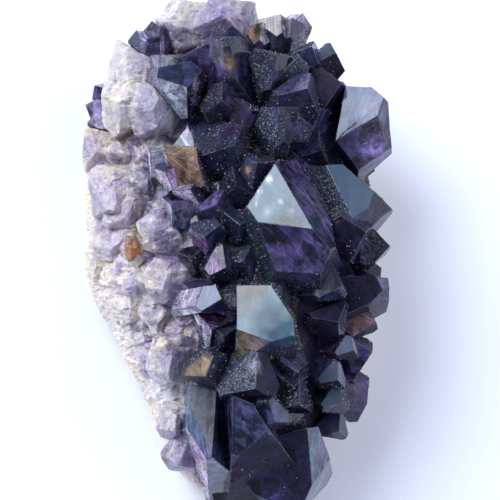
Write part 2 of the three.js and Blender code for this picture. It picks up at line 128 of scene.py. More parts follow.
def rock_edge(turn):
    """Plan point at a share of the way round: a closed curve through the outline's points, where
    each stretch is a cubic whose end slopes are half the step between the points on either side."""
    count = len(ROCK_OUTLINE)
    along = (turn % 1.0) * count
    first = np.floor(along).astype(int)
    s = (along - first)[:, None]
    before, start, end, after = (ROCK_OUTLINE[(first + k) % count] for k in (-1, 0, 1, 2))
    slope_start, slope_end = (end - before) / 2, (after - start) / 2
    return (
        (2 * s ** 3 - 3 * s ** 2 + 1) * start + (s ** 3 - 2 * s ** 2 + s) * slope_start
        + (3 * s ** 2 - 2 * s ** 3) * end + (s ** 3 - s ** 2) * slope_end
    )


def rock_place(turn, f, lift=0.0):
    """Point on the rock for a share round the outline and a share f from crest to widest edge. The
    height falls from the crest as (1 - f^a)^b, domed on the right and nearly straight on the left,
    where the wall is broken off. lift grows the body outwards."""
    reach = rock_edge(turn) - CREST
    span = np.hypot(reach[:, 0], reach[:, 1])
    broken = np.clip(-reach[:, 0] / span / 0.8, 0, 1)
    broken = broken * broken * (3 - 2 * broken)
    power = 3 + (2.2 - 3) * broken
    root = 1.5 + (1 - 1.5) * broken
    rise = np.maximum(0, 1 - f ** power) ** (1 / root)
    plan = CREST + reach * (f * (1 + lift / span))[:, None]
    low, high = WIDEST_AT + lift * 0.5, CREST_HEIGHT + lift * 0.7
    return np.column_stack([plan, low + (high - low) * rise])


def crust_edge_at(y):
    """x of the left edge of the crust of crystals at a given y, straight between its points."""
    return np.interp(y, CRUST_EDGE[:, 1], CRUST_EDGE[:, 0])


def grid_quads(rows, columns):
    """Corner numbers of the quads of a grid of rows that each close on themselves."""
    r, c = np.meshgrid(np.arange(rows - 1), np.arange(columns), indexing="ij")
    following = (c + 1) % columns
    lower, upper = r * columns, (r + 1) * columns
    corners = [lower + c, lower + following, upper + following, upper + c]
    return np.stack(corners, axis=-1).reshape(-1, 4)


def make_piece(name, points, faces, smooth_below=None):
    """Object from points in millimetres and equal-sized faces. Edges that turn less than
    smooth_below degrees are shaded smooth, and the others stay crisp."""
    mesh = bpy.data.meshes.new(name)
    count, sides = faces.shape
    mesh.vertices.add(len(points))
    mesh.vertices.foreach_set("co", (points * MM).ravel())
    mesh.loops.add(count * sides)
    mesh.loops.foreach_set("vertex_index", faces.ravel().astype(np.int32))
    mesh.polygons.add(count)
    mesh.polygons.foreach_set("loop_start", np.arange(count, dtype=np.int32) * sides)
    mesh.update(calc_edges=True)
    mesh.validate()
    if smooth_below is not None:
        mesh.shade_smooth()
        mesh.set_sharp_from_angle(angle=math.radians(smooth_below))
    piece = bpy.data.objects.new(name, mesh)
    bpy.context.scene.collection.objects.link(piece)
    return piece


def paint(piece, name, values):
    """Stores a colour for each vertex as the attribute name."""
    layer = piece.data.color_attributes.new(name, "FLOAT_COLOR", "POINT")
    layer.data.foreach_set("color", np.column_stack([values, np.ones(len(values))]).ravel())


def linear(red, green, blue):
    """Colour given as it looks on a screen, 0 to 255, as the light it stands for."""
    shade = np.array([red, green, blue], float) / 255
    return np.where(shade <= 0.04045, shade / 12.92, ((shade + 0.055) / 1.055) ** 2.4)


def face_normals(points, quads):
    """Unit normal of each quad, from the cross product of its diagonals."""
    a, b, c, d = (points[quads[:, k]] for k in range(4))
    cross = np.cross(c - a, d - b)
    return cross / np.maximum(np.linalg.norm(cross, axis=1, keepdims=True), 1e-9)


def vertex_normals(points, quads):
    """Unit normal at each vertex, the mean of its quads' normals."""
    total = np.zeros_like(points)
    normals = face_normals(points, quads)
    for k in range(4):
        np.add.at(total, quads[:, k], normals)
    return total / np.maximum(np.linalg.norm(total, axis=1, keepdims=True), 1e-9)


# Tints of the broken quartz, as they look, and the places where one of them is strongest: middle
# and reach in millimetres. The dark grey laid in the gaps between the blocks is painted shade.
WHITE = linear(226, 220, 216)
CREAM = linear(236, 216, 188)
LILAC = linear(164, 152, 180)
VIOLET = linear(98, 80, 126)
GREY = linear(130, 130, 142)
MIST = linear(164, 162, 176)
# Dark grey for the painted shade in the gaps between the blocks
GAP_SHADE = linear(66, 66, 80)
TAN = linear(176, 146, 114)
RUST = linear(176, 118, 74)
TINTED_PLACES = [
    ([-25, 40, 24], 9, WHITE * 0.78, 0.7), ([-16, 31, 29], 8, MIST, 0.95), ([-27, 22, 17], 5, GAP_SHADE, 0.55),
    ([-20, 15, 24], 4, GREY, 0.7), ([-31, 17, 14], 6, LILAC, 0.6), ([-30, 7, 14], 4, VIOLET, 0.6),
    ([-22, 9, 22], 4, GAP_SHADE, 0.6), ([-15, 2, 28], 5, LILAC, 0.8), ([-14, -5, 26], 4, VIOLET, 0.7),
    ([-20, -12, 22], 5, GREY, 0.6), ([-14, -11, 26], 5, LILAC, 0.8), ([-16, -20, 22], 5, VIOLET, 0.45),
    ([-13, -29, 24], 4, VIOLET, 0.5), ([-10, -43, 22], 5, LILAC, 0.7), ([-4, 54, 27], 8, LILAC, 0.7),
    ([-11, 55, 24], 6, WHITE, 0.6), ([-1, 53, 26], 7, VIOLET, 0.9), ([-33, 27, 13], 5, LILAC, 0.8),
    ([-28, 12, 18], 8, LILAC, 0.9), ([-27, 2, 19], 6, LILAC, 0.6), ([-24, 32, 25], 4, WHITE, 0.8),
    ([-16, -32, 18], 9, WHITE, 0.8), ([-13, 36, 30], 6, MIST, 0.7), ([-12, -18, 27], 3.5, GAP_SHADE, 0.5),
    ([-19, 22, 27], 4, GAP_SHADE, 0.45),
]


def quartz_tint(points):
    """Colour of the broken quartz: white and cream in soft drifts, lilac and grey fragment by
    fragment, the tinted places with painted shade in the gaps between blocks, and a cream to tan rind that
    thickens towards the foot."""
    drift = soft_noise(points, 9.0, 21)[:, None]
    small = soft_noise(points, 2.2, 22)[:, None]
    tone = chips(points, 3.6, 31)[1][:, None]
    scrap = chips(points, 1.3, 36)[1][:, None]
    tint = WHITE * (1 - drift) + CREAM * drift
    inner = np.clip(1.25 - (crust_edge_at(points[:, 1]) - points[:, 0]) / 16, 0, 1)[:, None]
    tint = tint + (LILAC - tint) * np.clip((0.6 * tone + 0.4 * scrap) * 3 - 1.9 + 1.0 * inner, 0, 0.85)
    tint = tint + (GREY - tint) * np.clip(0.5 - (0.5 * tone + 0.5 * scrap) * 3.5 + 1.2 * inner, 0, 0.75)
    tint = tint + (VIOLET - tint) * np.clip(soft_noise(points, 3.2, 24)[:, None] * 4 - 3.1 + inner, 0, 0.6)
    for middle, reach, colour, share in TINTED_PLACES:
        distance = np.linalg.norm(points - middle, axis=1)[:, None] / reach
        near = np.clip(1.5 - distance - 0.6 * small, 0, 1) * share
        tint = tint + (colour - tint) * near
    foot = np.clip((13 - points[:, 2:3] + 5 * (drift - 0.5)) / 6, 0, 1)
    tint = tint + (CREAM * 1.12 - tint) * foot * 0.9
    rind = np.clip((3.2 - points[:, 2:3] + 2 * small) / 2.5, 0, 1)
    tint = tint + (TAN - tint) * rind * 0.75
    speck = soft_noise(points, 0.7, 23)[:, None]
    return tint * (0.74 + 0.3 * speck + 0.14 * scrap)


def pale_quartz_material():
    """Milky broken quartz: the stored tint with fine grain, a little light passing under the
    surface, and glassy breaks between dull ones."""
    material = bpy.data.materials.new("pale_quartz")
    material.use_nodes = True
    nodes, links = material.node_tree.nodes, material.node_tree.links
    shader = nodes["Principled BSDF"]
    tint = nodes.new("ShaderNodeVertexColor")
    tint.layer_name = "tint"
    place = nodes.new("ShaderNodeTexCoord")
    grain = nodes.new("ShaderNodeTexNoise")
    grain.inputs["Scale"].default_value = 2600
    grain.inputs["Detail"].default_value = 4
    links.new(place.outputs["Object"], grain.inputs["Vector"])
    spread = nodes.new("ShaderNodeMapRange")
    spread.inputs["From Min"].default_value = 0.3
    spread.inputs["From Max"].default_value = 0.7
    spread.inputs["To Min"].default_value = 0.76
    spread.inputs["To Max"].default_value = 1.14
    links.new(grain.outputs["Fac"], spread.inputs["Value"])
    cells = nodes.new("ShaderNodeTexVoronoi")
    cells.inputs["Scale"].default_value = 850
    links.new(place.outputs["Object"], cells.inputs["Vector"])
    draw = nodes.new("ShaderNodeSeparateColor")
    links.new(cells.outputs["Color"], draw.inputs["Color"])
    mottle = nodes.new("ShaderNodeMapRange")
    mottle.inputs["To Min"].default_value = 0.87
    mottle.inputs["To Max"].default_value = 1.12
    links.new(draw.outputs["Green"], mottle.inputs["Value"])
    shade = nodes.new("ShaderNodeMath")
    shade.operation = "MULTIPLY"
    links.new(spread.outputs["Result"], shade.inputs[0])
    links.new(mottle.outputs["Result"], shade.inputs[1])
    mix = nodes.new("ShaderNodeVectorMath")
    mix.operation = "SCALE"
    links.new(tint.outputs["Color"], mix.inputs[0])
    links.new(shade.outputs["Value"], mix.inputs["Scale"])
    links.new(mix.outputs["Vector"], shader.inputs["Base Color"])
    shine = nodes.new("ShaderNodeMapRange")
    shine.inputs["To Min"].default_value = 0.22
    shine.inputs["To Max"].default_value = 0.62
    links.new(draw.outputs["Red"], shine.inputs["Value"])
    links.new(shine.outputs["Result"], shader.inputs["Roughness"])
    bump = nodes.new("ShaderNodeBump")
    bump.inputs["Strength"].default_value = 0.5
    bump.inputs["Distance"].default_value = 0.0002
    links.new(grain.outputs["Fac"], bump.inputs["Height"])
    sugar = nodes.new("ShaderNodeTexVoronoi")
    sugar.inputs["Scale"].default_value = 2400
    links.new(place.outputs["Object"], sugar.inputs["Vector"])
    turned = nodes.new("ShaderNodeVectorMath")
    turned.operation = "SUBTRACT"
    turned.inputs[1].default_value = (0.5, 0.5, 0.5)
    links.new(sugar.outputs["Color"], turned.inputs[0])
    normal = nodes.new("ShaderNodeVectorMath")
    normal.operation = "MULTIPLY_ADD"
    normal.inputs[1].default_value = (0.35, 0.35, 0.35)
    links.new(turned.outputs["Vector"], normal.inputs[0])
    links.new(bump.outputs["Normal"], normal.inputs[2])
    unit = nodes.new("ShaderNodeVectorMath")
    unit.operation = "NORMALIZE"
    links.new(normal.outputs["Vector"], unit.inputs[0])
    links.new(unit.outputs["Vector"], shader.inputs["Normal"])
    shader.inputs["IOR"].default_value = 1.544
    shader.inputs["Subsurface Weight"].default_value = 0.35
    shader.inputs["Subsurface Radius"].default_value = (1.0, 0.85, 1.0)
    shader.inputs["Subsurface Scale"].default_value = 0.0018
    return material


pale_quartz = pale_quartz_material()

LEFT_COLUMNS, RIGHT_COLUMNS = 420, 120
LEFT_FROM, LEFT_TO = 0.2, 0.82
turns = np.concatenate([
    np.linspace(LEFT_FROM, LEFT_TO, LEFT_COLUMNS, endpoint=False),
    np.linspace(LEFT_TO, 1 + LEFT_FROM, RIGHT_COLUMNS, endpoint=False),
])
wall_rings = []
for height, inset in zip(np.linspace(0, WIDEST_AT, 22), BASE_INSET * (1 - np.linspace(0, 1, 22)) ** 2.2):
    edge = rock_place(turns, np.ones_like(turns))
    share = 1 - inset / np.hypot(edge[:, 0], edge[:, 1])
    wall_rings.append(np.column_stack([edge[:, :2] * share[:, None], np.full(len(turns), height)]))
for f in np.concatenate([np.linspace(0.99, 0.4, 84), np.linspace(0.36, 0.02, 9)]):
    wall_rings.append(rock_place(turns, np.full_like(turns, f)))
rock_points = np.concatenate(wall_rings)
rock_quads = grid_quads(len(wall_rings), len(turns))
rock_out = vertex_normals(rock_points, rock_quads)
bare = np.clip((crust_edge_at(rock_points[:, 1]) - rock_points[:, 0]) / 3 + 0.5, 0, 1)
wall = np.clip((rock_points[:, 2] - 1.5) / 4, 0, 1)
above_rind = np.clip((rock_points[:, 2] - 9) / 5, 0.18, 1)
rough = 0.34 * chips(rock_points, 5.0, 41)[0] + 0.28 * chips(rock_points, 2.1, 51)[0]
rough = rough * above_rind + 0.4 * chips(rock_points, 0.9, 61)[0]
rough += 1.4 * (soft_noise(rock_points, 7.0, 66) - 0.5)
rock_points = rock_points + rock_out * (np.clip(rough, -2.2, 1.6) * wall * (0.35 + 0.65 * bare))[:, None]
rock_points[:, 0] = np.maximum(rock_points[:, 0], cad_box[0][0] / MM + 0.05)
under = len(rock_points)
rock_points = np.vstack([rock_points, [[0, 0, 0]], [[CREST[0], CREST[1], CREST_HEIGHT]]])
columns = np.arange(len(turns))
following = (columns + 1) % len(turns)
top_ring = (len(wall_rings) - 1) * len(turns)
caps = np.vstack([
    np.column_stack([np.full_like(columns, under), following, columns]),
    np.column_stack([np.full_like(columns, under + 1), top_ring + columns, top_ring + following]),
])
tall = np.vstack([rock_quads[:, [0, 1, 2]], rock_quads[:, [0, 2, 3]], caps])
rock = make_piece("matrix", rock_points, tall, smooth_below=26)
paint(rock, "tint", quartz_tint(rock_points))
rock.data.materials.append(pale_quartz)
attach(rock, "root")
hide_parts("matrix_rock")


# The broken blocks of pale quartz that stand out of the wall. Each is an uneven lump with flat
# breaks all round, and finer chips on them: large ones listed, small ones spread over the wall.
BLOCKS = [
    ([-24, 38, 19], [7, 11, 9]), ([-17, 32, 25], [7.5, 7, 7]), ([-16, 2.5, 24], [5, 6, 6]),
    ([-27, 16, 15], [6, 8, 7]), ([-31, 28, 12], [5, 5, 5]), ([-2, 53, 24], [8, 6, 8]),
    ([-11, 54.5, 21], [7, 6, 7]), ([-14, -26, 22], [5, 7, 5]), ([-13.5, -9, 24], [5, 6, 6]),
    ([-13, -39, 20], [3.5, 4, 4]), ([-11.5, -45, 17], [3.5, 4.5, 4]), ([-30, 0, 10], [3, 4, 4]),
]
SITES = 105
BREAKS = 13


def sites_on_rock(count):
    """Evenly spread places on the rock: golden-ratio turns, and shares from the crest that grow as
    the square root. Returns the places and their outward directions."""
    number = np.arange(count)
    turn = (number * 0.618034) % 1
    f = np.sqrt((number + 0.5) / count)
    step = 0.01
    inner = np.minimum(f, 1 - step)
    outward = rock_place(turn, inner + step) - rock_place(turn, inner)
    round_it = rock_place(turn + step, f) - rock_place(turn, f)
    normal = np.cross(outward, round_it)
    return rock_place(turn, f), normal / np.linalg.norm(normal, axis=1, keepdims=True)


def block_breaks(seed, half):
    """The flat breaks of a block: directions on a golden spiral with a little scatter, and how far
    out each lies from the middle."""
    i = np.arange(BREAKS)
    level = 1 - 2 * (i + 0.5) / BREAKS + 0.2 * (scatter(seed, i) - 0.5)
    bearing = i * 2.39996 + 1.2 * scatter(seed, i + 20)
    ring = np.sqrt(np.maximum(0, 1 - level * level))
    normals = np.column_stack([ring * np.cos(bearing), ring * np.sin(bearing), level])
    normals /= np.linalg.norm(normals, axis=1, keepdims=True)
    reach = np.linalg.norm(normals * half, axis=1) * (0.72 + 0.28 * scatter(seed, i + 40))
    return normals, reach


def block_surface(middle, half, seed, rings, columns, chip, depth):
    """Surface of a block as a radius over directions on a globe: the nearest break along each
    direction, less the chips, whose size is chip and whose depth is scaled by depth. The two poles
    are single points."""
    tilt = np.linspace(0, np.pi, rings + 2)[1:-1]
    bearing = np.linspace(0, 2 * np.pi, columns, endpoint=False)
    t, b = np.meshgrid(tilt, bearing, indexing="ij")
    directions = np.column_stack([
        (np.sin(t) * np.cos(b)).ravel(), (np.sin(t) * np.sin(b)).ravel(), -np.cos(t).ravel(),
    ])
    directions = np.vstack([directions, [[0, 0, -1]], [[0, 0, 1]]])
    normals, reach = block_breaks(seed, half)
    facing = directions @ normals.T
    radius = np.where(facing > 0.05, reach / np.maximum(facing, 0.05), np.inf).min(axis=1)
    points = middle + directions * radius[:, None]
    loss = 0.3 * chips(points, chip * 2.3, 71)[0] + 0.36 * chips(points, chip, 81)[0]
    loss += 0.35 * chips(points, chip * 0.42, 91)[0]
    points = middle + directions * (radius + depth * np.clip(loss, -1.6, 0.25))[:, None]
    quads = grid_quads(rings, columns)
    ring = np.arange(columns)
    after = (ring + 1) % columns
    last = (rings - 1) * columns
    poles = rings * columns
    triangles = np.vstack([
        quads[:, [0, 1, 2]], quads[:, [0, 2, 3]],
        np.column_stack([np.full_like(ring, poles), after, ring]),
        np.column_stack([np.full_like(ring, poles + 1), last + ring, last + after]),
    ])
    return points, triangles


def joined(parts):
    """One list of points and one of faces from several."""
    points, faces, start = [], [], 0
    for part_points, part_faces in parts:
        points.append(part_points)
        faces.append(part_faces + start)
        start += len(part_points)
    return np.vstack(points), np.vstack(faces)


block_parts = []
for seed, (middle, half) in enumerate(BLOCKS):
    block_parts.append(block_surface(np.array(middle), np.array(half), seed, 60, 96, 1.5, 0.55))
places, outwards = sites_on_rock(SITES)
on_wall = [
    i for i in range(SITES)
    if places[i, 0] < crust_edge_at(places[i, 1]) - 2.5 and places[i, 2] > WIDEST_AT + 4
]
for order, i in enumerate(on_wall):
    size = 3.2 + 3 * scatter(i, 11)
    half = size * (0.8 + 0.4 * scatter(i, np.array([12, 13, 14])))
    middle = places[i] - outwards[i] * 0.5 * size
    block_parts.append(block_surface(middle, half, len(BLOCKS) + order, 26, 40, 1.1, 1.0))
block_points, block_faces = joined(block_parts)
BOX_LOW, BOX_HIGH = np.array(cad_box[0]) / MM, np.array(cad_box[1]) / MM
block_points = np.clip(block_points, BOX_LOW + 0.05, BOX_HIGH - 0.05)
blocks = make_piece("broken_quartz", block_points, block_faces, smooth_below=26)
paint(blocks, "tint", quartz_tint(block_points))
blocks.data.materials.append(pale_quartz)
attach(blocks, "root")

# One long chip on the left is stained orange by iron, most strongly at its lower end
chip_points, chip_faces = block_surface(
    np.array([-22.6, -0.8, 23]), np.array([1.25, 3.1, 3.4]), 77, 30, 40, 0.9, 1.0,
)
chip = make_piece("stained_chip", chip_points, chip_faces, smooth_below=26)
stain = np.clip((-0.5 - chip_points[:, 1]) / 3 + soft_noise(chip_points, 0.8, 25), 0, 1)[:, None]
paint(chip, "tint", linear(150, 122, 104) * (1 - stain) + RUST * stain)
chip.data.materials.append(pale_quartz)
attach(chip, "root")


# The druse: the crust of dark amethyst points. The real one grew as one piece, so it keeps the
# imported solid's flat faces. Each face gets its own finish: clean glass, violet veils, a dusting of
# fine crystals or an iron stain, or, on the faces that mirror the window, a painted reflection, and
# every outer edge is worn a little.
# In millimetres: the width of the worn strips, the longest edge of a fine triangle, and how near a
# named place has to be to its face
EDGE_WEAR = 0.1
FACE_STEP = 1.15
NEAR_ENOUGH = 2.0
DARKEST, LIGHTEST = 0.6, 1.7

# What each finish looks like: colour on a screen, share of the clear crystal that it hides, share
# of fine sparkling dust, roughness, and how strongly clouds and growth lines show in it
FINISHES = {
    # The opaque blue-green coat of bright and the blue-grey coat of silver are painted reflection: they
    # stand for the window and the sky that these faces mirror
    "bright": ((70, 99, 106), 1.0, 0.0, 0.06, 0.4, 0.03),
    "silver": ((76, 88, 116), 0.92, 0.0, 0.06, 0.3, 0.25),
    "slate": ((50, 56, 78), 0.85, 0.05, 0.14, 0.4, 0.15),
    "dusk": ((46, 63, 86), 0.97, 0.03, 0.38, 0.3, 0.03),
    "steel": ((90, 98, 122), 0.65, 0.05, 0.12, 0.5, 0.5),
    "ochre": ((104, 87, 66), 0.92, 0.2, 0.30, 1.3, 0.3),
    "brown": ((98, 78, 78), 0.88, 0.2, 0.30, 0.8, 0.3),
    "cream": ((158, 144, 142), 0.85, 0.1, 0.30, 0.6, 0.3),
    "milky": ((160, 152, 168), 0.85, 0.3, 0.25, 1.0, 0.12),
    "lilac": ((132, 122, 152), 0.60, 0.1, 0.12, 1.0, 0.25),
    "magenta": ((106, 66, 116), 0.45, 0.0, 0.08, 1.2, 1.0),
    "violet": ((66, 60, 94), 0.50, 0.08, 0.08, 1.0, 0.3),
    "navy": ((42, 44, 72), 0.55, 0.08, 0.10, 0.8, 0.3),
    "smoky": ((80, 76, 86), 0.94, 0.15, 0.46, 0.9, 0.05),
    "velvet": ((29, 26, 46), 0.85, 0.22, 0.5, 1.5, 0.05),
    "ink": ((33, 33, 52), 0.88, 0.08, 0.25, 0.6, 0.2),
    "dusty": ((39, 43, 58), 0.95, 0.5, 0.22, 0.8, 0.1),
    "dusty violet": ((38, 35, 58), 0.90, 0.45, 0.22, 0.9, 0.1),
    "worn": ((62, 62, 78), 0.92, 0.4, 0.25, 0.3, 0.0),
}

# The faces that stand out, each with a place on it in whole millimetres. Every other face has the
# finish that its part of the crust mostly shows
NAMED_FACES = {
    # Faces named bright or silver carry a painted reflection of the window and the sky
    "bright": [(9, 1, 43), (6, -23, 43)],
    "silver": [(27, 31, 31), (27, 26, 32), (22, 28, 30), (-5, -18, 39)],
    "slate": [(13, 49, 32), (20, 44, 31), (20, -40, 19)],
    "dusk": [(25, 8, 35), (23, -27, 30), (20, -33, 29), (21, -36, 26)],
    "steel": [(31, 9, 29), (17, -47, 25), (18, -51, 16), (-8, -45, 29), (-4, -52, 22), (31, 19, 25)],
    "ochre": [(-10, 12, 35), (-11, 16, 36), (3, -29, 40), (-7, -32, 35), (5, 48, 32)],
    "brown": [(27, -19, 24)],
    "cream": [(9, 50, 33)],
    "milky": [(-13, 30, 34), (-8, -48, 21), (-10, -17, 35), (-8, -23, 33)],
    "lilac": [(-11, 4, 31), (29, -16, 24), (16, 52, 28)],
    "magenta": [(-7, -5, 35), (-4, -9, 36), (-3, -22, 36)],
    "violet": [
        (13, -9, 42), (16, 4, 39), (28, 21, 30), (3, -45, 36), (26, -31, 18), (27, -26, 21),
        (-1, -46, 28), (-4, 38, 36), (-8, 40, 34), (13, 31, 38),
    ],
    "navy": [(2, 37, 35), (-3, -45, 28), (-12, 35, 36), (33, 26, 31)],
    "smoky": [(-6, -40, 30), (21, -14, 35)],
    "velvet": [
        (11, -52, 25), (5, -50, 30), (5, -53, 24), (27, -13, 29), (24, -3, 34),
        (20, 34, 32), (22, 40, 31), (12, 22, 38), (7, -35, 37),
    ],
    "ink": [(19, -22, 30), (20, -19, 32), (16, -25, 26)],
    "dusty": [
        (2, -35, 38), (10, -29, 38), (13, -14, 36), (20, 9, 33), (30, -3, 27),
        (8, 22, 38), (2, 19, 35), (6, 20, 33), (-3, 26, 35), (-5, 30, 35), (6, 36, 37),
    ],
    "dusty violet": [(-4, 21, 34), (-3, 14, 35), (14, 27, 38)],
}

# Soft patches that cross the faces: middle and reach in millimetres, colour, cover, dust and
# roughness there, and the most that it takes over
# Colour of the small white spots on the bright face
WHITE_SPOT = (196, 208, 212)
PATCHES = [
    # These first three patches lay a cream to blue gradient over the bright face near (6, -23, 43):
    # painted reflection of the window and the sky
    ([2.5, -18, 41.5], 5.5, (76, 74, 62), 1, 0, 0.1, 0.9),
    ([10, -27, 44.3], 7, (40, 70, 86), 1, 0, 0.44, 1), ([7, -23, 43], 4, (44, 72, 86), 1, 0, 0.25, 0.7),
    ([12, -4, 43], 5, (24, 24, 54), 0.3, 0, 0.08, 0.9),
    ([13, -13, 40.5], 6, (88, 74, 118), 0.6, 0, 0.2, 0.6), ([7.2, 7.3, 42], 0.85, WHITE_SPOT, 1, 0.4, 0.15, 1),
    ([6, 8.8, 41.4], 0.5, WHITE_SPOT, 1, 0.4, 0.15, 0.8), ([5, 4.8, 41.4], 0.6, WHITE_SPOT, 1, 0.4, 0.15, 1),
    ([5.7, 4.5, 41.6], 0.5, WHITE_SPOT, 1, 0.4, 0.15, 0.8), ([4.8, 3.2, 41.4], 0.45, WHITE_SPOT, 1, 0.4, 0.15, 0.9),
    ([4.5, 1.7, 41.5], 0.45, WHITE_SPOT, 1, 0.4, 0.15, 0.9), ([9.6, 1.3, 43.2], 0.6, WHITE_SPOT, 1, 0.4, 0.15, 1),
    ([7.1, -0.5, 42.5], 1.1, WHITE_SPOT, 1, 0.4, 0.2, 0.5), ([7.9, 0.8, 42.7], 0.35, WHITE_SPOT, 1, 0.4, 0.15, 0.8),
    ([11.6, -1.2, 44.1], 1, WHITE_SPOT, 1, 0.3, 0.2, 0.4),
    ([-1, 19, 34], 4, (78, 58, 102), 0.8, 0.3, 0.2, 0.8),
    ([-6, 22, 35], 4, (30, 34, 40), 0.97, 1, 0.25, 0.9),
    ([31, 21, 28], 4, (132, 118, 172), 0.8, 0, 0.1, 0.7),
    ([26, 23, 30], 3.5, (30, 27, 62), 0.5, 0, 0.1, 0.8),
    ([30, 28, 31.5], 4, (142, 142, 168), 0.5, 0, 0.06, 0.6),
    ([11, 24, 37.5], 3.5, (70, 74, 108), 0.9, 0.4, 0.2, 0.7),
    ([18.5, 8, 37], 3.5, (52, 44, 46), 0.7, 0, 0.2, 0.7),
    ([18, -3, 37], 3.5, (78, 62, 108), 0.7, 0, 0.2, 0.6),
    ([-1.2, 37.2, 38], 2.2, (126, 104, 78), 0.95, 0, 0.3, 0.9),
    ([2.8, 12.1, 35.6], 1, (170, 124, 88), 1, 0, 0.3, 1),
    ([-4.2, 5, 35], 1.1, (150, 124, 90), 1, 0.1, 0.3, 1),
    ([-1.5, -3, 31], 2, (100, 104, 88), 0.9, 0.1, 0.2, 0.9),
    ([22, 1.5, 34.5], 1.6, (112, 96, 80), 0.9, 0.2, 0.3, 0.8),
    ([4.5, -33.5, 39], 1.6, (150, 146, 160), 0.95, 0.5, 0.3, 0.7),
    ([8, -45, 34], 3, (50, 42, 70), 0.7, 0.3, 0.2, 0.6),
    ([8, -55, 20], 3, (84, 66, 130), 0.7, 0, 0.1, 0.7),
    ([-9, 33, 35], 1.5, (196, 190, 212), 0.9, 0.4, 0.2, 0.8),
    ([-8, 43, 33], 4, (32, 31, 54), 0.6, 0.2, 0.2, 0.8),
]


def blend_patches(coat, finish, points, noise):
    """Blends the soft patches into the coat and the finish of every corner, with ragged rims."""
    for middle, reach, colour, cover, dust, dull, most in PATCHES:
        distance = np.linalg.norm(points - middle, axis=1) / reach
        near = (np.clip(1.6 - distance - 0.8 * noise, 0, 1) * most)[:, None]
        coat += (linear(*colour) - coat) * near
        finish[:, :3] += (np.array([cover, dust, dull]) - finish[:, :3]) * near


